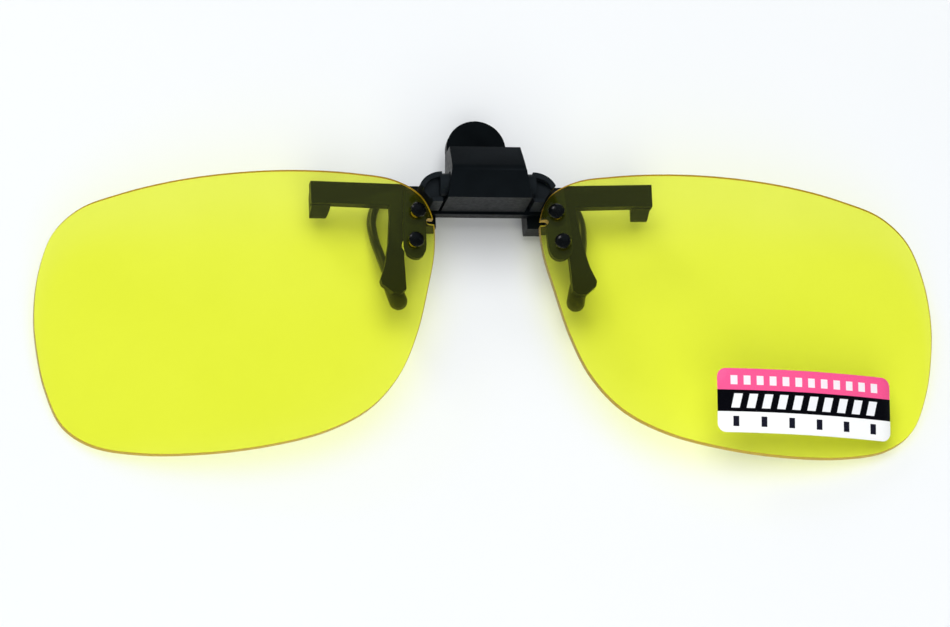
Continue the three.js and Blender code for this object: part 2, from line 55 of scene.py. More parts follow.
LENS_CENTRE_X = 38.0
LENS_INNER_X = 8.0
LENS_CURVE_R = 85.0
LENS_WRAP = math.radians(4.8)
LENS_THICK = 1.4
LENS_TRIM = 0.03  # keeps the smooth outline inside the faceted one
FLIP_AXIS = (5.4, 19.6)
BARREL_R = 1.7
BARREL_FLAT = 1.45
SLOT_R = BARREL_R + GAP + 0.05
JAW_FRONT = 10.2
JAW_BACK = 12.0
LEG_RAKE = 0.26
CROSSBAR_BOTTOM = 16.6
BAR_TOP = 20.9
COVER_BACK = JAW_FRONT - GAP
LEVER_AXIS = (14.2, 19.9)
LEVER_PIN_R = 0.7
LUG_R = 2.0
LUG_INNER_X = 6.9
LUG_OUTER_X = 10.5
LUG_BOTTOM = 14.8
HUB_R = 1.8
HUB_OUTER_X = LUG_INNER_X - GAP
HUB_INNER_X = 3.1
LEVER_FRONT = 13.4
LEVER_BACK = 15.0
DISC_R = 4.5  # 0.05 less than in the CAD
DISC_Z = 27.8
BEAM_BACK = 18.1
BEAM_Z = (20.3, 22.7)
ROD_SOCKET = (17.0, 21.5)
ROD_SOCKET_DEPTH = 3.4
ROD_R = 0.72
BOOT_R = 1.35
BOOT_LENGTH = 5.0
RIVETS = {"upper": (10.5, 15.7), "lower": (11.1, 10.8)}
RIVET_SHANK_R = 0.6
RIVET_HEAD_R = 1.25
WASHER_R = 1.3
STACK_BACK = 2.68
WASHER_RECESS = 0.5
WASHER_THICK = 0.25

SIDES = {"right": 1, "left": -1}
METRES_PER_MM = 0.001
MM_PER_METRE = 1000.0
CREASE_ANGLE = 40.0  # degrees; sharper edges are shaded as creases
BEND_STEPS = 8
WELD_DISTANCE = 0.002
SEAM_ANGLE = 1.0  # degrees; flatter seams are melted away


# ---- camera ---------------------------------------------------------------------------------------
def make_camera():
    data = bpy.data.cameras.new("camera")
    data.sensor_width = 36.0
    data.lens = 285.5
    data.clip_start = 0.05
    data.clip_end = 20.0
    camera = bpy.data.objects.new("camera", data)
    bpy.context.scene.collection.objects.link(camera)
    camera.location = (-0.18485, -0.49628, 0.99092)
    camera.rotation_euler = [math.radians(d) for d in (26.763, -8.665, -3.773)]
    bpy.context.scene.camera = camera


make_camera()


# ---- from the worn frame to the part's frame --------------------------------------------------------
def worn_to_part():
    low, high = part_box("lever_pin")
    turn = Matrix.Rotation(LYING_TILT, 4, "X")
    pin = Vector((0.0, LEVER_AXIS[0], LEVER_AXIS[1])) * METRES_PER_MM
    shift = (low + high) / 2 - turn @ pin
    return Matrix.Translation(shift) @ turn @ Matrix.Scale(METRES_PER_MM, 4)


WORN = worn_to_part()


# ---- mesh helpers ---------------------------------------------------------------------------------
def link(name, mesh):
    piece = bpy.data.objects.new(name, mesh)
    bpy.context.scene.collection.objects.link(piece)
    return piece


@contextlib.contextmanager
def editing(mesh):
    """Opens a mesh for editing and writes it back."""
    bm = bmesh.new()
    bm.from_mesh(mesh)
    yield bm
    bm.to_mesh(mesh)
    bm.free()


def mesh_from(vertices, faces):
    mesh = bpy.data.meshes.new("shape")
    mesh.from_pydata([tuple(v) for v in vertices], [], faces)
    with editing(mesh) as bm:
        bmesh.ops.recalc_face_normals(bm, faces=bm.faces)
    return mesh


def sweep(outline, low, high, to_point):
    """Closed prism: an outline of 2-D points carried from low to high by to_point(u, v, depth)."""
    count = len(outline)
    vertices = [to_point(u, v, depth) for depth in (low, high) for u, v in outline]
    faces = [tuple(range(count)), tuple(range(2 * count - 1, count - 1, -1))]
    for i in range(count):
        j = (i + 1) % count
        faces.append((i, j, count + j, count + i))
    return mesh_from(vertices, faces)


def front_prism(outline, y0, y1):
    return sweep(outline, y0, y1, lambda x, z, y: (x, y, z))


def side_prism(outline, x0, x1):
    return sweep(outline, x0, x1, lambda y, z, x: (x, y, z))


def block(low, high):
    (x0, y0, z0), (x1, y1, z1) = low, high
    return front_prism([(x0, z0), (x1, z0), (x1, z1), (x0, z1)], y0, y1)


def circle(centre, radius, count=48):
    u, v = centre
    turn = 2 * math.pi / count
    angles = [k * turn for k in range(count)]
    return [(u + radius * math.cos(a), v + radius * math.sin(a)) for a in angles]


def arc(centre, radius, start, end, count):
    u, v = centre
    steps = [math.radians(start + (end - start) * k / count) for k in range(count + 1)]
    return [(u + radius * math.cos(a), v + radius * math.sin(a)) for a in steps]


def bend(start, control, end):
    """Points of a quadratic curve, without its start."""
    anchors = (start, control, end)
    points = []
    for k in range(1, BEND_STEPS + 1):
        t = k / BEND_STEPS
        weights = ((1 - t) ** 2, 2 * t * (1 - t), t ** 2)
        points.append(tuple(sum(w * p[i] for w, p in zip(weights, anchors)) for i in (0, 1)))
    return points


def bar_along_x(radius, x0, x1, axis, count=48):
    return side_prism(circle(axis, radius, count), x0, x1)


def mirror_outline(right_half):
    """A whole outline from its right half, which starts and ends on the middle line."""
    left_half = [(-x, z) for x, z in reversed(right_half) if abs(x) > 1e-6]
    return right_half + left_half


def lathe(profile, count=48):
    """Closed solid of revolution about Y from (radius, y) points; the ends may lie on the axis."""
    vertices = []
    rings = []
    for radius, y in profile:
        if radius < 1e-6:
            rings.append([len(vertices)])
            vertices.append((0.0, y, 0.0))
            continue
        rings.append(list(range(len(vertices), len(vertices) + count)))
        for k in range(count):
            angle = 2 * math.pi * k / count
            vertices.append((radius * math.cos(angle), y, radius * math.sin(angle)))
    faces = []
    for lower, upper in zip(rings, rings[1:]):
        for k in range(count):
            j = (k + 1) % count
            corners = [
                lower[k % len(lower)], lower[j % len(lower)],
                upper[j % len(upper)], upper[k % len(upper)],
            ]
            faces.append(tuple(dict.fromkeys(corners)))
    return mesh_from(vertices, faces)


def ring_lathe(profile, count=48):
    """Closed ring of revolution about Y whose profile is a closed loop off the axis."""
    size = len(profile)
    vertices = []
    for k in range(count):
        angle = 2 * math.pi * k / count
        vertices += [(radius * math.cos(angle), y, radius * math.sin(angle)) for radius, y in profile]
    faces = []
    for k in range(count):
        here, there = k * size, ((k + 1) % count) * size
        for i in range(size):
            j = (i + 1) % size
            faces.append((here + i, here + j, there + j, there + i))
    return mesh_from(vertices, faces)


def smooth_path(points, per_span, closed=False):
    """Centripetal Catmull-Rom curve through the points."""
    points = [Vector(p) for p in points]
    count = len(points)
    path = []
    spans = count if closed else count - 1
    for i in range(spans):
        if closed:
            four = [points[(i + k) % count] for k in (-1, 0, 1, 2)]
        else:
            before = points[i - 1] if i > 0 else 2 * points[0] - points[1]
            after = points[i + 2] if i + 2 < count else 2 * points[-1] - points[-2]
            four = [before, points[i], points[i + 1], after]
        t0 = 0.0
        roots = [math.sqrt((four[j + 1] - four[j]).length) for j in range(3)]
        t1, t2, t3 = [sum(roots[:k]) for k in (1, 2, 3)]
        for k in range(per_span):
            t = t1 + (t2 - t1) * k / per_span
            first = ((t1 - t) * four[0] + (t - t0) * four[1]) / (t1 - t0)
            second = ((t2 - t) * four[1] + (t - t1) * four[2]) / (t2 - t1)
            third = ((t3 - t) * four[2] + (t - t2) * four[3]) / (t3 - t2)
            early = ((t2 - t) * first + (t - t0) * second) / (t2 - t0)
            late = ((t3 - t) * second + (t - t1) * third) / (t3 - t1)
            path.append(((t2 - t) * early + (t - t1) * late) / (t2 - t1))
    if not closed:
        path.append(points[-1])
    return path


def tube(path, radius, count):
    """Round tube with flat ends along a path, its rings turned as little as possible."""
    vertices = []
    side = None
    for i, point in enumerate(path):
        ahead = path[min(i + 1, len(path) - 1)]
        behind = path[max(i - 1, 0)]
        along = (ahead - behind).normalized()
        if side is None:
            side = along.orthogonal().normalized()
        side = (side - along * side.dot(along)).normalized()
        other = along.cross(side)
        for k in range(count):
            angle = 2 * math.pi * k / count
            vertices.append(point + radius * (math.cos(angle) * side + math.sin(angle) * other))
    faces = [tuple(range(count)), tuple(range(len(vertices) - 1, len(vertices) - count - 1, -1))]
    for i in range(len(path) - 1):
        here, there = i * count, (i + 1) * count
        for k in range(count):
            j = (k + 1) % count
            faces.append((here + k, here + j, there + j, there + k))
    return mesh_from(vertices, faces)


def mirrored(mesh):
    copy = mesh.copy()
    copy.transform(Matrix.Scale(-1, 4, (1, 0, 0)))
    copy.flip_normals()
    return copy


def evaluated(piece):
    graph = bpy.context.evaluated_depsgraph_get()
    mesh = bpy.data.meshes.new_from_object(piece.evaluated_get(graph))
    old = piece.data
    piece.modifiers.clear()
    piece.data = mesh
    bpy.data.meshes.remove(old)


def combine(base, *steps):
    """Runs boolean steps ("UNION" | "DIFFERENCE" | "INTERSECT", mesh) on a base mesh."""
    piece = link("working", base.copy())
    tools = []
    for operation, mesh in steps:
        tool = link("tool", mesh)
        tools.append(tool)
        cut = piece.modifiers.new("cut", "BOOLEAN")
        cut.operation = operation
        cut.solver = "EXACT"
        cut.object = tool
    evaluated(piece)
    for tool in tools:
        bpy.data.objects.remove(tool)
    mesh = piece.data
    mesh.materials.clear()
    bpy.data.objects.remove(piece)
    return mesh


def tidy(mesh):
    """Welds doubles and melts the seams that booleans leave across flat faces."""
    limit = math.radians(SEAM_ANGLE)
    with editing(mesh) as bm:
        bmesh.ops.remove_doubles(bm, verts=bm.verts, dist=WELD_DISTANCE)
        bmesh.ops.dissolve_limit(bm, angle_limit=limit, verts=bm.verts, edges=bm.edges)
        bmesh.ops.recalc_face_normals(bm, faces=bm.faces)
    return mesh


def soften(mesh, width, segments=3, angle=28.0):
    """Rounds the edges of a moulding as its mould does."""
    piece = link("working", mesh)
    bevel = piece.modifiers.new("edges", "BEVEL")
    bevel.width = width
    bevel.segments = segments
    bevel.limit_method = "ANGLE"
    bevel.angle_limit = math.radians(angle)
    bevel.use_clamp_overlap = True
    bevel.miter_outer = "MITER_ARC"
    shade(piece.data)
    normals = piece.modifiers.new("normals", "WEIGHTED_NORMAL")
    normals.keep_sharp = True
    evaluated(piece)
    mesh = piece.data
    bpy.data.objects.remove(piece)
    return mesh


def shade(mesh, angle=CREASE_ANGLE):
    mesh.shade_smooth()
    with editing(mesh) as bm:
        for edge in bm.edges:
            sharp = len(edge.link_faces) == 2 and edge.calc_face_angle(0.0) > math.radians(angle)
            edge.smooth = not sharp


# ---- lens surface ---------------------------------------------------------------------------------
LENS_OUTLINE = [
    (67.5, 0.5), (66.6, 7.2), (64.4, 12.9), (60.4, 16.5), (54.6, 18.4), (47.0, 20.0),
    (38.0, 21.1), (28.5, 21.6), (19.5, 21.4), (13.6, 20.7), (9.8, 18.6), (8.1, 15.0),
    (8.1, 9.8), (9.5, 3.2), (11.5, -4.0), (14.3, -10.1), (18.7, -15.1), (25.1, -18.6),
    (33.6, -20.8), (43.0, -21.8), (52.4, -21.5), (59.5, -19.8), (63.7, -16.6), (66.1, -11.0),
    (67.2, -5.2),
]


def lens_front(x, z):
    across = abs(x) - LENS_CENTRE_X
    dish = (across ** 2 + z ** 2) / (2 * LENS_CURVE_R)
    return dish + math.tan(LENS_WRAP) * (abs(x) - LENS_INNER_X)


def lens_normal(x, z):
    """Unit normal of the right-hand lens's front, pointing back."""
    slope_x = (x - LENS_CENTRE_X) / LENS_CURVE_R + math.tan(LENS_WRAP)
    return Vector((-slope_x, 1.0, -z / LENS_CURVE_R)).normalized()


def lens_outline(grow, per_span=8):
    path = smooth_path([(x, 0.0, z) for x, z in LENS_OUTLINE], per_span, closed=True)
    count = len(path)
    outline = []
    for i, point in enumerate(path):
        along = (path[(i + 1) % count] - path[i - 1]).normalized()
        outline.append((point.x + along.z * grow, point.z - along.x * grow))
    return outline


def curved_plate(rows, centre, rings):
    """Plate over the lens surface, closed at its centre on both sides.

    rows are (outline, offset) round the rim from front to back. rings are the sizes of the smaller
    copies of the outline that fill a side, from the centre out.
    """
    cx, cz = centre
    count = len(rows[0][0])

    def shrunk(row, ring):
        outline, offset = row
        return [(cx + (x - cx) * ring, cz + (z - cz) * ring, offset) for x, z in outline]

    loops = [shrunk(rows[0], ring) for ring in rings]
    loops += [[(x, z, offset) for x, z in outline] for outline, offset in rows]
    loops += [shrunk(rows[-1], ring) for ring in reversed(rings)]
    vertices = [(cx, lens_front(cx, cz) + rows[0][1], cz)]
    for loop in loops:
        vertices += [(x, lens_front(x, z) + offset, z) for x, z, offset in loop]
    vertices.append((cx, lens_front(cx, cz) + rows[-1][1], cz))
    faces = []
    last = len(vertices) - 1
    for k in range(count):
        j = (k + 1) % count
        faces.append((0, 1 + k, 1 + j))
        faces.append((last, last - count + j, last - count + k))
        for row in range(len(loops) - 1):
            here, there = 1 + row * count, 1 + (row + 1) * count
            faces.append((here + k, there + k, there + j, here + j))
    return mesh_from(vertices, faces)


def lens_plate(front, back, grow, per_span=3):
    outline = lens_outline(grow, per_span)
    return curved_plate([(outline, front), (outline, back)], (LENS_CENTRE_X, 0.0), [0.5])


def on_rivet_axis(mesh, rivet):
    x, z = rivet
    turn = Vector((0, 1, 0)).rotation_difference(lens_normal(x, z)).to_matrix().to_4x4()
    mesh.transform(Matrix.Translation((x, lens_front(x, z), z)) @ turn)
    return mesh


def rivet_bore(rivet, radius, start, end):
    profile = [(0.0, start), (radius, start), (radius, end), (0.0, end)]
    return on_rivet_axis(lathe(profile, 40), rivet)


# ---- lens pair ------------------------------------------------------------------------------------
RIM_CHAMFER = 0.16
RIM_ROUND = 0.3 * RIM_CHAMFER
LENS_RINGS = [0.08, 0.2, 0.34, 0.48, 0.62, 0.75, 0.86, 0.94]
LENS_WELD = 0.0005
LENS_FACING = 0.93  # least cosine to the surface's normal for a polygon of a face, not of the rim
BORE_R = 0.66  # lens, bridge and washers are pressed onto the rivet shanks
NOTCH_Z = 14.2
NOTCH_HALF = 0.45
NOTCH_DEPTH = 1.2
NOTCH_CUT_BACK = 12.0


def lens_mesh():
    c, r = RIM_CHAMFER, RIM_ROUND
    rim = [
        (-c, 0.0), (-r, r), (0.0, c),
        (0.0, LENS_THICK - c), (-r, LENS_THICK - r), (-c, LENS_THICK),
    ]
    rows = [(lens_outline(grow - LENS_TRIM), offset) for grow, offset in rim]
    plate = curved_plate(rows, (LENS_CENTRE_X, 0.0), LENS_RINGS)
    cuts = []
    for rivet in RIVETS.values():
        cuts.append(("DIFFERENCE", rivet_bore(rivet, BORE_R, -CUT_PAST, LENS_THICK + CUT_PAST)))
    inner = LENS_INNER_X + NOTCH_DEPTH - NOTCH_HALF
    outer = LENS_INNER_X - CUT_PAST
    slot = [(outer, NOTCH_Z - NOTCH_HALF)]
    slot += arc((inner, NOTCH_Z), NOTCH_HALF, -90, 90, 12)
    slot.append((outer, NOTCH_Z + NOTCH_HALF))
    cuts.append(("DIFFERENCE", front_prism(slot, 0.0, NOTCH_CUT_BACK)))
    mesh = combine(plate, *cuts)
    with editing(mesh) as bm:
        bmesh.ops.remove_doubles(bm, verts=bm.verts, dist=LENS_WELD)
    return mesh


def dress_lens(mesh):
    """Marks the rim and the bores for the rim material and gives both faces their true normals."""
    def true_normal(point, side):
        normal = lens_normal(abs(point.x), point.z)
        normal.x *= side
        return normal

    mesh.shade_smooth()
    normals = [None] * len(mesh.loops)
    for face in mesh.polygons:
        side = 1.0 if face.center.x > 0 else -1.0
        facing = face.normal.dot(true_normal(face.center, side))
        on_face = abs(facing) > LENS_FACING
        face.material_index = 0 if on_face else 1
        for i in face.loop_indices:
            if on_face:
                point = mesh.vertices[mesh.loops[i].vertex_index].co
                normals[i] = true_normal(point, side) * (1.0 if facing > 0 else -1.0)
            else:
                normals[i] = face.normal.copy()
    mesh.normals_split_custom_set(normals)
    return mesh


# label stuck on the front of the right-hand lens
LABEL_CENTRE = (46.35, -13.95)
LABEL_SIZE = (27.1, 9.4)
LABEL_CORNER = 1.3
LABEL_LIFT = 0.12
LABEL_THICK = 0.15
LABEL_EDGE_IN = 0.06  # how far the front is drawn in round its rim, and over what depth
LABEL_EDGE_DEPTH = 0.05
LABEL_STEP = 1.0  # longest straight run round the rim, so that the film bends with the lens
LABEL_RINGS = [0.15, 0.35, 0.55, 0.75, 0.9]


def label_mesh():
    w, h, r = LABEL_SIZE[0] / 2, LABEL_SIZE[1] / 2, LABEL_CORNER
    corners = [
        ((w - r, -h + r), -90), ((w - r, h - r), 0),
        ((-w + r, h - r), 90), ((-w + r, -h + r), 180),
    ]
    flat = []
    for centre, start in corners:
        flat += arc(centre, r, start, start + 90, 8)
    dense = []
    for (ax, az), (bx, bz) in zip(flat, flat[1:] + flat[:1]):
        steps = max(1, round(math.dist((ax, az), (bx, bz)) / LABEL_STEP))
        dense += [(ax + (bx - ax) * k / steps, az + (bz - az) * k / steps) for k in range(steps)]

    def placed(inset):
        cx, cz = LABEL_CENTRE
        return [(cx + x * (1 - inset / w), cz + z * (1 - inset / h)) for x, z in dense]

    front, back = -LABEL_LIFT - LABEL_THICK, -LABEL_LIFT
    rows = [
        (placed(LABEL_EDGE_IN), front), (placed(0.0), front + LABEL_EDGE_DEPTH), (placed(0.0), back),
    ]
    mesh = curved_plate(rows, LABEL_CENTRE, LABEL_RINGS)
    for face in mesh.polygons:
        face.material_index = 1 if face.normal.y > 0.5 else 0
    return mesh


RIVET_HEAD_EDGE = 0.15
RIVET_DOME = 0.7
RIVET_TAIL_R = 0.95
RIVET_TAIL_HEIGHT = 0.45
DOME_STEPS = 10


def rivet_mesh(rivet):
    tail_start = STACK_BACK - WASHER_RECESS + WASHER_THICK + 2 * GAP
    tail_end = tail_start + RIVET_TAIL_HEIGHT
    dome = [
        (RIVET_HEAD_R * math.sin(a), -GAP - RIVET_HEAD_EDGE - RIVET_DOME * math.cos(a))
        for a in [math.radians(90 * k / DOME_STEPS) for k in range(DOME_STEPS + 1)]
    ]
    dome[0] = (0.0, dome[0][1])
    profile = dome + [
        (RIVET_HEAD_R, -GAP - 0.1), (RIVET_HEAD_R - 0.05, -GAP - 0.02),
        (RIVET_HEAD_R - 0.12, -GAP), (RIVET_SHANK_R, -GAP),
        (RIVET_SHANK_R, tail_start), (0.88, tail_start),
        (RIVET_TAIL_R, tail_start + 0.06), (RIVET_TAIL_R, tail_start + 0.18),
        (0.86, tail_start + 0.32), (0.66, tail_end - 0.03), (0.5, tail_end), (0.0, tail_end),
    ]
    return on_rivet_axis(lathe(profile), rivet)


def washer_mesh(rivet):
    low = STACK_BACK - WASHER_RECESS + GAP
    high = low + WASHER_THICK
    inner, edge = BORE_R, 0.05
    profile = [
        (inner, low + edge), (inner + edge, low), (WASHER_R - edge, low), (WASHER_R, low + edge),
        (WASHER_R, high - edge), (WASHER_R - edge, high), (inner + edge, high), (inner, high - edge),
    ]
    return on_rivet_axis(ring_lathe(profile), rivet)


STRAP_THICK = 1.1
EAR_Y = (4.3, 9.75)
EAR_R = 4.55  # the ears are round about the flip axis
EAR_POCKET_Y = (3.3, 5.4)
BARREL_HALF = 7.2
CAM_HALF = 4.2  # half the length of the barrel's flats
CAM_CUT = 3.0
STACK_CUT_BACK = 6.0
BRIDGE_ROUNDING = 0.16


def bridge_mesh():
    strap_outline = [
        (9.05, 17.6), (9.2, 13.6), (9.3, 10.6), (9.45, 9.7), (9.8, 9.0), (10.4, 8.5), (11.0, 8.35),
        (11.6, 8.45), (12.2, 8.8), (12.65, 9.4), (12.8, 10.2), (12.7, 13.6), (12.3, 17.6),
        (12.1, 19.9), (10.4, 20.0), (9.0, 19.6),
    ]
    strap_front = LENS_THICK + GAP
    strap = front_prism(strap_outline, strap_front, strap_front + STRAP_THICK)
    for vertex in strap.vertices:
        vertex.co.y += lens_front(vertex.co.x, vertex.co.z)

    shoulder = [(6.85, 16.7), (9.4, 16.7), (10.5, 17.6)]
    shoulder += bend((10.5, 17.6), (10.6, 19.4), (9.3, 20.5))
    shoulder += bend((9.3, 20.5), (8.2, 21.35), (6.85, 21.35))
    pocket = [(6.0, 17.3), (9.1, 17.3), (9.7, 18.0)]
    pocket += bend((9.7, 18.0), (9.7, 19.1), (8.8, 19.9))
    pocket += bend((8.8, 19.9), (8.0, 20.6), (6.0, 20.6))
    ear = combine(
        front_prism(shoulder, *EAR_Y),
        ("DIFFERENCE", front_prism(pocket, *EAR_POCKET_Y)),
        ("INTERSECT", bar_along_x(EAR_R, 6.0, 12.0, FLIP_AXIS, 64)),
        ("DIFFERENCE", lens_plate(-12.0, LENS_THICK + GAP, GAP)),
    )
    recess = STACK_BACK - WASHER_RECESS
    steps = [("UNION", strap)]
    for rivet in RIVETS.values():
        steps.append(("DIFFERENCE", rivet_bore(rivet, BORE_R, 0.0, STACK_CUT_BACK)))
        steps.append(("DIFFERENCE", rivet_bore(rivet, WASHER_R + GAP, recess, STACK_CUT_BACK)))
    half = combine(ear, *steps)

    def cut_span(side):
        """From where to where a cutter reaches: beside the barrel (1 or -1) or across it (0)."""
        if side == 0:
            return -CAM_CUT, CAM_CUT
        far = BARREL_FLAT + CUT_PAST
        return (BARREL_FLAT, far) if side > 0 else (-far, -BARREL_FLAT)

    cam = bar_along_x(BARREL_R, -BARREL_HALF, BARREL_HALF, FLIP_AXIS)
    y, z = FLIP_AXIS
    for side_y, side_z in ((1, 0), (-1, 0), (0, 1), (0, -1)):
        (y0, y1), (z0, z1) = cut_span(side_y), cut_span(side_z)
        cutter = block((-CAM_HALF, y + y0, z + z0), (CAM_HALF, y + y1, z + z1))
        cam = combine(cam, ("DIFFERENCE", cutter))
    whole = combine(cam, ("UNION", half), ("UNION", mirrored(half)))
    return soften(tidy(whole), BRIDGE_ROUNDING)


# ---- clip body ------------------------------------------------------------------------------------
HOOK_X = (22.0, 26.0)
LEG_THICK = 1.5
JAW_ROUNDING = 0.22
COVER_HALF = 6.5
COVER_WINDOW_HALF = 4.3
COVER_WINDOW_Z = (17.55, 22.55)
COVER_ROUNDING = 0.3


def front_jaw_mesh():
    bar = mirror_outline([
        (0, CROSSBAR_BOTTOM), (10.6, CROSSBAR_BOTTOM), (11.2, 17.5), (22.6, 17.9), (25.8, 17.9),
        (25.8, 21.3), (11, BAR_TOP), (0, BAR_TOP),
    ])
    hook = [
        (JAW_FRONT + 0.3, 17.9), (JAW_BACK, 17.5), (13.4, 16.95), (14.3, 16.8), (14.85, 16.95),
        (15.1, 17.4), (15.1, 18.2), (14.2, 19.9), (13.1, 20.9), (JAW_BACK, 21.2),
        (JAW_FRONT + 0.3, 21.1),
    ]
    leg = [
        (11.5, 19.5), (14.2, 19.5), (14.15, 16.2), (14.7, 11.5), (15.5, 7.6), (16.35, 5.3),
        (16.15, 4.5), (14.6, 3.1), (13.4, 3.0), (12.6, 3.7), (12.55, 9.0), (12.1, 14.0),
    ]
    foot = LEVER_AXIS[0] + LUG_R - 1.2
    lug = [(JAW_BACK - 0.6, LUG_BOTTOM)]
    lug += arc((foot, LUG_BOTTOM + 0.6), 0.6, -90, 0, 6)
    lug.append((LEVER_AXIS[0] + LUG_R, LEVER_AXIS[1] - 1.5))
    lug += arc(LEVER_AXIS, LUG_R, 0, 90, 12)
    lug.append((JAW_BACK - 0.6, BAR_TOP))
    plan = [(22.8, 11.0), (25.6, 11.0), (25.6, 14.2)]
    plan += bend((25.6, 14.2), (25.5, 15.1), (24.7, 15.1)) + [(23.9, 15.1)]
    plan += bend((23.9, 15.1), (23.2, 15.1), (23.1, 14.3)) + [(22.8, 12.2)]
    tip = sweep(plan, 15.0, 22.0, lambda x, y, z: (x, y, z))
    hook_solid = combine(side_prism(hook, *HOOK_X), ("INTERSECT", tip))
    leg_solid = front_prism(leg, JAW_FRONT, JAW_FRONT + LEG_THICK)
    for vertex in leg_solid.vertices:
        vertex.co.y -= LEG_RAKE * max(0.0, CROSSBAR_BOTTOM - vertex.co.z)
    lug_solid = side_prism(lug, LUG_INNER_X, LUG_OUTER_X)
    steps = []
    for shape in (hook_solid, leg_solid, lug_solid):
        steps += [("UNION", shape), ("UNION", mirrored(shape))]
    steps.append(("DIFFERENCE", bar_along_x(LEVER_PIN_R + GAP, -12.0, 12.0, LEVER_AXIS, 40)))
    jaw = combine(front_prism(bar, JAW_FRONT, JAW_BACK), *steps)
    return soften(tidy(jaw), JAW_ROUNDING)


def hinge_cover_mesh():
    profile = [
        (2.8, 16.9), (2.35, 21.0), (2.85, 22.1), (5.6, 25.7), (COVER_BACK, 25.7), (COVER_BACK, 16.9),
    ]
    taper = [(-6.45, 16.0), (-5.55, 21.6), (-5.3, 26.5), (5.3, 26.5), (5.55, 21.6), (6.45, 16.0)]
    y, z = FLIP_AXIS
    w, (low, high) = COVER_WINDOW_HALF, COVER_WINDOW_Z
    past = COVER_BACK + CUT_PAST
    cover = combine(
        side_prism(profile, -COVER_HALF, COVER_HALF),
        ("INTERSECT", front_prism(taper, 0.0, 12.0)),
        ("DIFFERENCE", block((-w, y - SLOT_R, low), (w, past, high))),
        ("DIFFERENCE", bar_along_x(SLOT_R, -8.0, 8.0, FLIP_AXIS)),
        ("DIFFERENCE", block((-8.0, y, z - SLOT_R), (8.0, past, z + SLOT_R))),
    )
    return soften(tidy(cover), COVER_ROUNDING)


def detent_spring_mesh():
    length, thick, bow, steps = 5.6, 0.25, 0.3, 24
    lower, upper = [], []
    for i in range(steps + 1):
        along = i / steps
        y = FLIP_AXIS[0] + (along - 0.5) * length + 0.9
        z = FLIP_AXIS[1] + BARREL_R + GAP + 0.05 + bow * (2 * along - 1) ** 2
        lower.append((y, z))
        upper.insert(0, (y, z + thick))
    return soften(side_prism(lower + upper, -3.2, 3.2), 0.05, 2, 50.0)


def lever_pin_mesh():
    end = LUG_OUTER_X - 0.1
    chamfer = 0.15
    profile = [
        (0.0, -end), (LEVER_PIN_R - chamfer, -end), (LEVER_PIN_R, -end + chamfer),
        (LEVER_PIN_R, end - chamfer), (LEVER_PIN_R - chamfer, end), (0.0, end),
    ]
    mesh = lathe(profile)
    turn = Matrix.Rotation(math.radians(-90), 4, "Z")
    mesh.transform(Matrix.Translation((0, *LEVER_AXIS)) @ turn)
    return mesh


def torsion_spring_mesh():
    wire, turns, pitch, per_turn = 0.28, 4, 0.9, 12
    coil = LEVER_PIN_R + GAP + wire + 0.12
    start = -turns * pitch / 2
    y, z = LEVER_AXIS
    points = [(start, y - coil, z + 4.2), (start, y - coil, z + 1.8)]
    for i in range(turns * per_turn + 1):
        angle = 2 * math.pi * i / per_turn
        x = start + i * pitch / per_turn
        points.append((x, y - coil * math.cos(angle), z - coil * math.sin(angle)))
    points += [(-start, y - coil, z - 1.6), (-start, y - coil, z - 2.8)]
    return tube(smooth_path(points, per_span=3), wire, 14)


# ---- rear jaw -------------------------------------------------------------------------------------
def thumb_lever_mesh():
    disc = front_prism(circle((0.0, DISC_Z), DISC_R, 72), LEVER_FRONT, LEVER_BACK)
    neck = mirror_outline([
        (0, BEAM_Z[0]), (HUB_OUTER_X - 0.4, BEAM_Z[0]), (HUB_OUTER_X - 0.4, BEAM_Z[1]),
        (3.6, 24.4), (3.3, 26.0), (0, 26.0),
    ])
    beam = [
        (LEVER_FRONT, BEAM_Z[0]), (BEAM_BACK - 0.5, BEAM_Z[0]), (BEAM_BACK, BEAM_Z[0] + 0.5),
        (BEAM_BACK, BEAM_Z[1] - 0.5), (BEAM_BACK - 0.5, BEAM_Z[1]), (LEVER_FRONT, BEAM_Z[1]),
    ]
    steps = [
        ("UNION", front_prism(neck, LEVER_FRONT, LEVER_BACK)),
        ("UNION", side_prism(beam, -HUB_OUTER_X, HUB_OUTER_X)),
    ]
    for x0, x1 in ((HUB_INNER_X, HUB_OUTER_X), (-HUB_OUTER_X, -HUB_INNER_X)):
        steps.append(("UNION", bar_along_x(HUB_R, x0, x1, LEVER_AXIS)))
        high = (x1, LEVER_FRONT + 2.2, BEAM_Z[0] + 0.9)
        steps.append(("UNION", block((x0, LEVER_FRONT, LEVER_AXIS[1]), high)))
    steps.append(("DIFFERENCE", bar_along_x(LEVER_PIN_R + GAP, -8.0, 8.0, LEVER_AXIS, 40)))
    z = LEVER_AXIS[1]
    spring_room = block((-HUB_INNER_X, 11.0, z - 4.0), (HUB_INNER_X, 16.3, z + 2.0))
    steps.append(("DIFFERENCE", spring_room))
    inside, outside = HUB_OUTER_X - ROD_SOCKET_DEPTH, HUB_OUTER_X + CUT_PAST
    for x0, x1 in ((inside, outside), (-outside, -inside)):
        steps.append(("DIFFERENCE", bar_along_x(ROD_R + GAP, x0, x1, ROD_SOCKET, 40)))
    return soften(tidy(combine(disc, *steps)), JAW_ROUNDING)


ARM_ROUTE = [
    (HUB_OUTER_X - ROD_SOCKET_DEPTH + GAP, *ROD_SOCKET), (9.5, *ROD_SOCKET), (12.6, 17.0, 21.4),
    (14.8, 16.9, 20.1), (15.9, 16.4, 17.4), (15.9, 15.3, 14.4), (15.25, 13.4, 10.6), (14.25, 11.2, 6.0),
    (13.5, 9.9, 2.95),
]


ARM_TRIM = 0.01
DIMPLE_R = 0.55


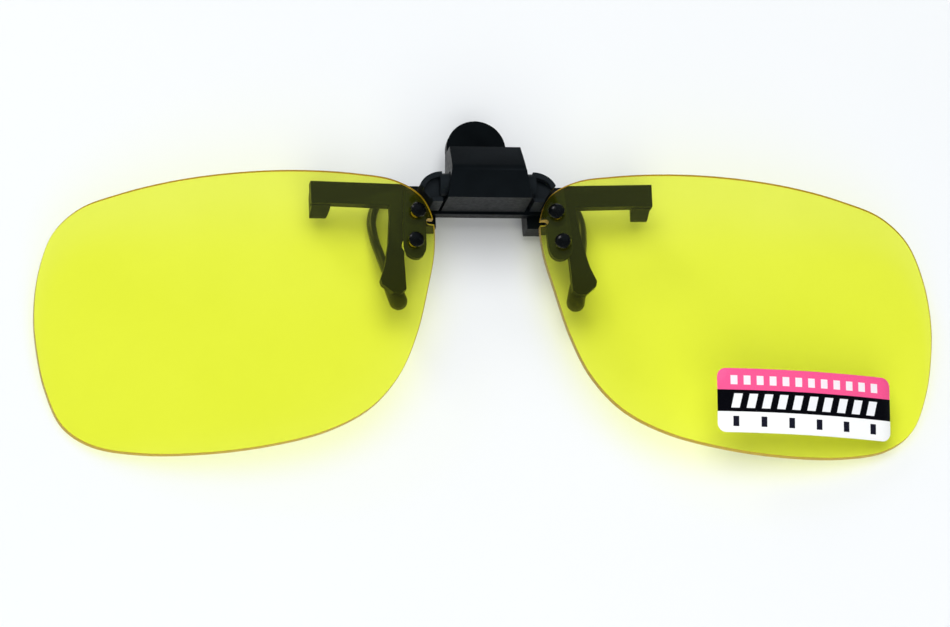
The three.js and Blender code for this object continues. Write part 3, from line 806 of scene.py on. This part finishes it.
def rear_arm_mesh():
    return tube(smooth_path(ARM_ROUTE, per_span=10), ROD_R - ARM_TRIM, 24)


def boot_mesh():
    end, before = Vector(ARM_ROUTE[-1]), Vector(ARM_ROUTE[-2])
    up = (before - end).normalized()
    bore = ROD_R + GAP
    rim = BOOT_LENGTH - 1.5
    dome = [math.radians(90 * k / DOME_STEPS) for k in range(1, DOME_STEPS + 1)]
    profile = [(0.0, -GAP - BOOT_R)]
    profile += [(BOOT_R * math.sin(a), -GAP - BOOT_R * math.cos(a)) for a in dome]
    profile += [
        (BOOT_R - 0.01, 0.9), (BOOT_R - 0.05, 2.2), (BOOT_R - 0.16, rim - 0.1),
        (BOOT_R - 0.2, rim - 0.03),
        (BOOT_R - 0.24, rim), (bore, rim), (bore, -GAP), (0.0, -GAP),
    ]
    boot = lathe(profile, 40)
    dimple = bmesh.new()
    bmesh.ops.create_uvsphere(dimple, u_segments=24, v_segments=12, radius=DIMPLE_R)
    tool = bpy.data.meshes.new("dimple")
    dimple.to_mesh(tool)
    dimple.free()
    tool.transform(Matrix.Translation((0.0, -0.15, -BOOT_R - 0.2)))
    boot = combine(boot, ("DIFFERENCE", tool))
    turn = Vector((0, 1, 0)).rotation_difference(up).to_matrix().to_4x4()
    boot.transform(Matrix.Translation(end) @ turn)
    return boot


# ---- materials ------------------------------------------------------------------------------------
FINE_GRAIN = 0.00002  # depth of the finest relief, metres
WORN_EDGE = (0.10, 0.12, 0.14)
LENS_IOR = 1.45


class Nodes:
    """A material's node tree, written as one line per node."""

    def __init__(self, name):
        self.material = bpy.data.materials.new(name)
        self.material.use_nodes = True
        self.tree = self.material.node_tree
        self.tree.nodes.clear()
        self.out = self.add("ShaderNodeOutputMaterial")

    def add(self, kind, inputs=None, **settings):
        node = self.tree.nodes.new(kind)
        for key, value in settings.items():
            setattr(node, key, value)
        for key, value in (inputs or {}).items():
            if isinstance(value, bpy.types.NodeSocket):
                self.tree.links.new(value, node.inputs[key])
            else:
                node.inputs[key].default_value = value
        return node

    def place(self):
        """Object coordinates in millimetres."""
        where = self.add("ShaderNodeTexCoord").outputs["Object"]
        inputs = {"Vector": where, "Scale": (MM_PER_METRE,) * 3}
        return self.add("ShaderNodeMapping", inputs).outputs["Vector"]

    def noise(self, vector, scale, detail, rough=0.5):
        inputs = {"Vector": vector, "Scale": scale, "Detail": detail, "Roughness": rough}
        return self.add("ShaderNodeTexNoise", inputs).outputs["Fac"]

    def remap(self, value, low, high, to_low, to_high):
        node = self.add("ShaderNodeMapRange", {0: value, 1: low, 2: high, 3: to_low, 4: to_high})
        return node.outputs[0]

    def ramp(self, value, stops):
        node = self.add("ShaderNodeValToRGB", {"Fac": value})
        ramp = node.color_ramp
        while len(ramp.elements) < len(stops):
            ramp.elements.new(0.5)
        for element, (position, colour) in zip(ramp.elements, stops):
            element.position = position
            element.color = (*colour, 1.0)
        return node.outputs["Color"]

    def bump(self, height, strength, distance):
        inputs = {"Height": height, "Strength": strength, "Distance": distance}
        return self.add("ShaderNodeBump", inputs).outputs["Normal"]

    def mixed(self, factor, below, above):
        """Colour mix; below and above are colours or sockets."""
        node = self.add("ShaderNodeMix", {0: factor}, data_type="RGBA")
        sockets = [s for s in node.inputs if s.type == "RGBA"]
        for socket, value in zip(sockets, (below, above)):
            if isinstance(value, bpy.types.NodeSocket):
                self.tree.links.new(value, socket)
            else:
                socket.default_value = (*value, 1.0)
        return [s for s in node.outputs if s.type == "RGBA"][0]

    def principled(self, inputs):
        return self.add("ShaderNodeBsdfPrincipled", inputs)

    def show(self, shader):
        self.tree.links.new(shader, self.out.inputs["Surface"])
        return self.material


def black_plastic(name, dark, light, rough, grain, shine):
    """Moulded black plastic: faint mottling, fine grain, slightly paler worn edges."""
    n = Nodes(name)
    mm = n.place()
    cloud = n.noise(mm, 0.35, 3.0)
    fine = n.noise(mm, 14.0, 3.0, 0.65)
    colour = n.ramp(cloud, [(0.3, dark), (0.7, light)])
    edge = n.add("ShaderNodeNewGeometry").outputs["Pointiness"]
    worn = n.remap(edge, 0.5, 0.62, 0.0, 0.08)
    base = n.mixed(worn, colour, WORN_EDGE)
    roughness = n.remap(n.noise(mm, 1.6, 4.0), 0.3, 0.7, rough - 0.06, rough + 0.08)
    normal = n.bump(fine, grain, FINE_GRAIN)
    return n.show(n.principled({
        "Base Color": base, "Roughness": roughness, "Normal": normal, "Specular IOR Level": shine,
    }).outputs[0])


def coated_wire():
    """Black lacquer over wire: satin, thinly coated, faintly uneven."""
    n = Nodes("coated_wire")
    mm = n.place()
    tints = [(0.3, (0.004, 0.005, 0.007)), (0.7, (0.010, 0.012, 0.016))]
    colour = n.ramp(n.noise(mm, 0.8, 2.0), tints)
    roughness = n.remap(n.noise(mm, 3.0, 5.0), 0.3, 0.75, 0.3, 0.46)
    normal = n.bump(n.noise(mm, 9.0, 3.0), 0.25, FINE_GRAIN)
    return n.show(n.principled({
        "Base Color": colour, "Roughness": roughness, "Normal": normal,
        "Coat Weight": 0.25, "Coat Roughness": 0.2,
    }).outputs[0])


def boot_rubber():
    """Soft black rubber: matt, with a fine moulded grain and a little dust."""
    n = Nodes("boot_rubber")
    mm = n.place()
    tints = [(0.35, (0.010, 0.011, 0.012)), (0.8, (0.032, 0.032, 0.034))]
    colour = n.ramp(n.noise(mm, 2.5, 5.0, 0.7), tints)
    roughness = n.remap(n.noise(mm, 5.0, 3.0), 0.3, 0.7, 0.42, 0.6)
    normal = n.bump(n.noise(mm, 18.0, 4.0, 0.7), 0.5, 0.00003)
    inputs = {"Base Color": colour, "Roughness": roughness, "Normal": normal}
    return n.show(n.principled(inputs).outputs[0])


def spring_steel():
    """Bright drawn steel: streaked roughness and a slight straw tint where it was tempered."""
    n = Nodes("spring_steel")
    mm = n.place()
    colour = n.ramp(n.noise(mm, 0.9, 3.0), [(0.3, (0.46, 0.46, 0.47)), (0.7, (0.62, 0.60, 0.56))])
    streaks = n.add("ShaderNodeMapping", {"Vector": mm, "Scale": (0.4, 12.0, 12.0)}).outputs["Vector"]
    roughness = n.remap(n.noise(streaks, 2.0, 5.0), 0.3, 0.7, 0.2, 0.42)
    normal = n.bump(n.noise(streaks, 3.0, 4.0), 0.2, FINE_GRAIN)
    return n.show(n.principled({
        "Base Color": colour, "Metallic": 1.0, "Roughness": roughness, "Normal": normal,
    }).outputs[0])


def nylon():
    """Natural nylon of the washers: milky, slightly mottled."""
    n = Nodes("nylon")
    mm = n.place()
    colour = n.ramp(n.noise(mm, 3.0, 3.0), [(0.3, (0.62, 0.60, 0.52)), (0.7, (0.74, 0.72, 0.65))])
    roughness = n.remap(n.noise(mm, 6.0, 3.0), 0.3, 0.7, 0.35, 0.5)
    normal = n.bump(n.noise(mm, 16.0, 3.0), 0.3, FINE_GRAIN)
    return n.show(n.principled({
        "Base Color": colour, "Roughness": roughness, "Normal": normal, "Subsurface Weight": 0.15,
    }).outputs[0])


def let_lamps_through(n, shader, tint):
    """Shadow and diffuse rays pass the tinted plastic unbent, so it colours the table below."""
    path = n.add("ShaderNodeLightPath")
    clear = n.add("ShaderNodeBsdfTransparent", {"Color": (*tint, 1.0)}).outputs[0]
    for ray in ("Is Shadow Ray", "Is Diffuse Ray"):
        inputs = {0: path.outputs[ray], 1: shader, 2: clear}
        shader = n.add("ShaderNodeMixShader", inputs).outputs[0]
    return shader


def tinted_lens():
    """Transparent yellow plastic: even tint, a whisper of haze, hairline polish marks."""
    n = Nodes("tinted_lens")
    mm = n.place()
    haze = n.noise(mm, 0.08, 4.0, 0.6)
    colour = n.ramp(haze, [(0.25, (0.890, 0.955, 0.112)), (0.75, (0.910, 0.968, 0.128))])
    roughness = n.remap(n.noise(mm, 1.2, 5.0), 0.4, 0.8, 0.0, 0.012)
    glass = n.principled({
        "Base Color": colour, "Roughness": roughness, "IOR": LENS_IOR, "Transmission Weight": 0.992,
    })
    return n.show(let_lamps_through(n, glass.outputs[0], (0.995, 1.0, 0.64)))


RIM_PAINTED_SHADE_SPAN = (-0.026, 0.014)  # where the painted shading of the rim starts and ends along the part's Y, metres
RIM_AMBER_AND_PAINTED_SHADE = [
    (0.0, (0.56, 0.35, 0.012)), (0.35, (0.40, 0.26, 0.012)),
    (0.75, (0.40, 0.29, 0.03)), (1.0, (0.46, 0.25, 0.03)),
]


def lens_rim():
    """Ground edge of the lens, where the tint piles up: amber, with painted shade from brighter amber at
    the lower edge to browner halfway up.
    """
    n = Nodes("lens_rim")
    where = n.add("ShaderNodeTexCoord").outputs["Object"]
    height = n.add("ShaderNodeSeparateXYZ", {0: where}).outputs["Y"]
    low = n.remap(height, *RIM_PAINTED_SHADE_SPAN, 0.0, 1.0)
    # painted light and shade: the rim's amber is brightest along the lower edge and turns browner higher up
    # the lens
    colour = n.ramp(low, RIM_AMBER_AND_PAINTED_SHADE)
    mm = n.place()
    frost = n.noise(mm, 6.0, 4.0)
    roughness = n.remap(frost, 0.3, 0.7, 0.22, 0.4)
    normal = n.bump(n.noise(mm, 12.0, 3.0), 0.3, FINE_GRAIN)
    body = n.principled({
        "Base Color": colour, "Roughness": roughness, "Normal": normal, "IOR": LENS_IOR,
        "Transmission Weight": 0.12, "Specular IOR Level": 0.08,
    })
    return n.show(let_lamps_through(n, body.outputs[0], (0.97, 0.95, 0.7)))


LABEL_BANDS = (1.5, -1.7)  # heights of the two colour changes above the label's middle, mm
LABEL_PINK = (0.96, 0.10, 0.29)
LABEL_BLACK = (0.0015, 0.0015, 0.003)
LABEL_WHITE = (0.98, 0.98, 0.97)
LABEL_ROWS = [  # a row of dashes for each band, in mm, and its colour
    (dict(count=12, pitch=2.0, width=1.05, level_up=2.95, tall=1.35), (0.95, 0.84, 0.89)),
    (dict(count=10, pitch=2.35, width=1.3, level_up=-0.1, tall=2.1, slant=0.25), (0.90, 0.90, 0.92)),
    (dict(count=6, pitch=4.3, width=0.9, level_up=-3.1, tall=1.5), (0.01, 0.01, 0.02)),
]


def printed_label():
    """Gloss film label in three plain bands, each with a row of plain printed dashes."""
    n = Nodes("printed_label")
    centre = WORN @ Vector((LABEL_CENTRE[0], lens_front(*LABEL_CENTRE), LABEL_CENTRE[1]))
    where = n.add("ShaderNodeTexCoord").outputs["Object"]
    to_middle = {0: where, 1: tuple(-c for c in centre)}
    moved = n.add("ShaderNodeVectorMath", to_middle, operation="ADD").outputs[0]
    to_worn = {"Vector": moved, "Rotation": (-LYING_TILT, 0.0, 0.0)}
    upright = n.add("ShaderNodeVectorRotate", to_worn, rotation_type="EULER_XYZ").outputs[0]
    to_mm = {0: upright, "Scale": MM_PER_METRE}
    scaled = n.add("ShaderNodeVectorMath", to_mm, operation="SCALE").outputs[0]
    parts = n.add("ShaderNodeSeparateXYZ", {0: scaled})
    across, up = parts.outputs["X"], parts.outputs["Z"]

    def math_node(operation, a, b=0.0, c=0.0):
        return n.add("ShaderNodeMath", {0: a, 1: b, 2: c}, operation=operation).outputs[0]

    def between(value, low, high):
        above, below = math_node("GREATER_THAN", value, low), math_node("LESS_THAN", value, high)
        return math_node("MULTIPLY", above, below)

    def dashes(count, pitch, width, level_up, tall, slant=0.0):
        """A centred row of an even count of upright marks, pitch apart and tall high."""
        leaning = math_node("MULTIPLY_ADD", up, -slant, across)
        phase = math_node("PINGPONG", math_node("ADD", leaning, pitch / 2), pitch / 2)
        row = between(up, level_up - tall / 2, level_up + tall / 2)
        inside = math_node("LESS_THAN", math_node("ABSOLUTE", leaning), count * pitch / 2)
        mark = math_node("MULTIPLY", math_node("LESS_THAN", phase, width / 2), row)
        return math_node("MULTIPLY", mark, inside)

    high, low = LABEL_BANDS
    colour = n.mixed(math_node("GREATER_THAN", up, low), LABEL_WHITE, LABEL_BLACK)
    colour = n.mixed(math_node("GREATER_THAN", up, high), colour, LABEL_PINK)
    for row, ink in LABEL_ROWS:
        colour = n.mixed(dashes(**row), colour, ink)
    mm = n.place()
    print_grain = n.noise(mm, 10.0, 3.0)
    roughness = n.remap(print_grain, 0.3, 0.7, 0.22, 0.34)
    normal = n.bump(n.noise(mm, 0.6, 2.0), 0.2, 0.0001)
    return n.show(n.principled({
        "Base Color": colour, "Roughness": roughness, "Normal": normal,
        "Coat Weight": 0.1, "Coat Roughness": 0.12, "Specular IOR Level": 0.3,
    }).outputs[0])


def label_backing():
    """Glue side of the label: plain off-white film with a faint mottle."""
    n = Nodes("label_backing")
    mm = n.place()
    colour = n.ramp(n.noise(mm, 0.8, 4.0), [(0.3, (0.74, 0.74, 0.73)), (0.7, (0.84, 0.84, 0.83))])
    roughness = n.remap(n.noise(mm, 4.0, 3.0), 0.3, 0.7, 0.4, 0.55)
    normal = n.bump(n.noise(mm, 5.0, 3.0), 0.15, 0.00003)
    inputs = {"Base Color": colour, "Roughness": roughness, "Normal": normal}
    return n.show(n.principled(inputs).outputs[0])


def table_top():
    """Plain pale table."""
    n = Nodes("table_top")
    mm = n.place()
    colour = n.ramp(n.noise(mm, 0.01, 3.0), [(0.3, (0.86, 0.87, 0.88)), (0.7, (0.88, 0.885, 0.89))])
    normal = n.bump(n.noise(mm, 3.0, 3.0), 0.05, 0.00005)
    inputs = {"Base Color": colour, "Roughness": 0.65, "Normal": normal}
    return n.show(n.principled(inputs).outputs[0])


MOULDED = black_plastic(
    "moulded_black", dark=(0.0005, 0.0012, 0.0017), light=(0.0014, 0.0026, 0.0033),
    rough=0.38, grain=0.2, shine=0.07,
)
DOMED = black_plastic(
    "domed_black", dark=(0.0010, 0.0013, 0.0015), light=(0.002, 0.0024, 0.0026),
    rough=0.22, grain=0.12, shine=0.35,
)
WIRE = coated_wire()
RUBBER = boot_rubber()
STEEL = spring_steel()
NYLON = nylon()
LENS = tinted_lens()
RIM = lens_rim()
LABEL = printed_label()
BACKING = label_backing()


# ---- pieces ---------------------------------------------------------------------------------------
def piece(name, mesh, materials, body, node, slot, shading=CREASE_ANGLE):
    """Adds a finished piece. With no shading angle, the mesh keeps the normals that it has."""
    mesh.transform(WORN)
    if shading:
        shade(mesh, shading)
    made = link(name, mesh)
    made.data.name = name
    if not isinstance(materials, tuple):
        materials = (materials,)
    for material in materials:
        mesh.materials.append(material)
    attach(made, body)
    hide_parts(node)


def sided(mesh, side):
    return mesh if side > 0 else mirrored(mesh)


piece("front_jaw_moulding", front_jaw_mesh(), MOULDED, "clip_body", "front_jaw", "black_plastic", None)
piece("hinge_cover_shell", hinge_cover_mesh(), MOULDED, "clip_body", "hinge_cover", "black_plastic", None)
piece("detent_leaf", detent_spring_mesh(), STEEL, "clip_body", "detent_leaf_spring", "steel", None)
piece("lever_pin_rod", lever_pin_mesh(), STEEL, "clip_body", "lever_pin", "steel")
piece("torsion_spring_coil", torsion_spring_mesh(), STEEL, "rear_jaw", "torsion_spring", "steel")
piece("thumb_lever_moulding", thumb_lever_mesh(), MOULDED, "rear_jaw", "thumb_lever", "black_plastic", None)
piece("lens_bridge_moulding", bridge_mesh(), MOULDED, "lens_carrier", "lens_bridge", "black_plastic", None)
piece("label_film", label_mesh(), (LABEL, BACKING), "lens_carrier", "lens_label", "label")

LENS_RIGHT = lens_mesh()
for side_name, side in SIDES.items():
    glazing = dress_lens(LENS_RIGHT.copy() if side > 0 else mirrored(LENS_RIGHT))
    piece(
        f"tinted_lens_{side_name}", glazing, (LENS, RIM), "lens_carrier", f"lens_{side_name}",
        "yellow_lens", None,
    )
    arm = sided(rear_arm_mesh(), side)
    piece(f"arm_wire_{side_name}", arm, WIRE, "rear_jaw", f"rear_arm_{side_name}", "arm_wire")
    boot = sided(boot_mesh(), side)
    piece(f"boot_{side_name}", boot, RUBBER, "rear_jaw", f"grip_boot_{side_name}", "boot_rubber")
    for level, rivet in RIVETS.items():
        place = f"{level}_{side_name}"
        head = sided(rivet_mesh(rivet), side)
        piece(f"rivet_head_{place}", head, DOMED, "lens_carrier", f"rivet_{place}", "rivet_plastic")
        ring = sided(washer_mesh(rivet), side)
        piece(f"washer_{place}", ring, NYLON, "lens_carrier", f"rivet_washer_{place}", "washer_plastic")


# ---- table, light ---------------------------------------------------------------------------------
TABLE_HALF = 2.0
TABLE_DROP = 0.0002  # keeps the table just clear of the part, metres


def make_table():
    h = TABLE_HALF
    mesh = mesh_from([(-h, -h, 0), (h, -h, 0), (h, h, 0), (-h, h, 0)], [(0, 1, 2, 3)])
    table = link("table", mesh)
    table.location.z = -TABLE_DROP
    mesh.materials.append(table_top())


def soft_box(
    name, azimuth, elevation, distance, size, watts, mirrored_by_gloss, colour=(1.0, 1.0, 1.0),
):
    """Disc lamp aimed at the object; azimuth 0 is over the camera's side, 180 behind the object."""
    data = bpy.data.lights.new(name, "AREA")
    data.shape = "DISK"
    data.size = size
    data.energy = watts
    data.color = colour
    lamp = bpy.data.objects.new(name, data)
    bpy.context.scene.collection.objects.link(lamp)
    a, e = math.radians(azimuth), math.radians(elevation)
    place = Vector((math.sin(a) * math.cos(e), -math.cos(a) * math.cos(e), math.sin(e))) * distance
    lamp.location = place
    lamp.rotation_euler = (-place).to_track_quat("-Z", "Y").to_euler()
    lamp.visible_glossy = mirrored_by_gloss
    lamp.visible_transmission = False


ROOM = [(0.0, (0.12, 0.135, 0.15)), (0.7, (0.045, 0.05, 0.055))]  # horizon, overhead
GLOW_TOWARDS = (0.10, 0.64, 0.76)
GLOW_CORE, GLOW_EDGE = 0.97, 0.76  # cosines at which the glow is full and gone
GLOW_COLOUR = (0.15, 0.18, 0.21)


def studio_world():
    """Dim room with one broad, soft glow high up behind the object."""
    world = bpy.data.worlds.new("studio")
    bpy.context.scene.world = world
    world.use_nodes = True
    tree = world.node_tree

    def add(kind, **settings):
        node = tree.nodes.new(kind)
        for key, value in settings.items():
            setattr(node, key, value)
        return node

    where = add("ShaderNodeTexCoord")
    parts = add("ShaderNodeSeparateXYZ")
    room = add("ShaderNodeValToRGB")
    for element, (position, colour) in zip(room.color_ramp.elements, ROOM):
        element.position = position
        element.color = (*colour, 1.0)
    facing = add("ShaderNodeVectorMath", operation="DOT_PRODUCT")
    facing.inputs[1].default_value = Vector(GLOW_TOWARDS).normalized()
    glow = add("ShaderNodeMapRange", interpolation_type="SMOOTHERSTEP")
    glow.inputs[1].default_value = GLOW_EDGE
    glow.inputs[2].default_value = GLOW_CORE
    mix = add("ShaderNodeMix", data_type="RGBA")
    sockets = [s for s in mix.inputs if s.type == "RGBA"]
    sockets[1].default_value = (*GLOW_COLOUR, 1.0)
    tree.links.new(where.outputs["Generated"], parts.inputs[0])
    tree.links.new(where.outputs["Generated"], facing.inputs[0])
    tree.links.new(parts.outputs["Z"], room.inputs["Fac"])
    tree.links.new(facing.outputs["Value"], glow.inputs[0])
    tree.links.new(glow.outputs[0], mix.inputs[0])
    tree.links.new(room.outputs["Color"], sockets[0])
    mixed = [s for s in mix.outputs if s.type == "RGBA"][0]
    tree.links.new(mixed, tree.nodes["Background"].inputs["Color"])


make_table()
soft_box(
    "overhead", azimuth=-130, elevation=78, distance=2.2, size=2.2, watts=40.5,
    mirrored_by_gloss=False, colour=(0.985, 0.995, 1.0),
)
soft_box(
    "key", azimuth=-145, elevation=29, distance=2.0, size=0.7, watts=6.0,
    mirrored_by_gloss=True,
)
soft_box(
    "fill", azimuth=-5, elevation=44, distance=2.0, size=1.6, watts=21.5,
    mirrored_by_gloss=False, colour=(0.99, 1.0, 1.0),
)
studio_world()
bpy.context.scene.view_settings.view_transform = "Standard"
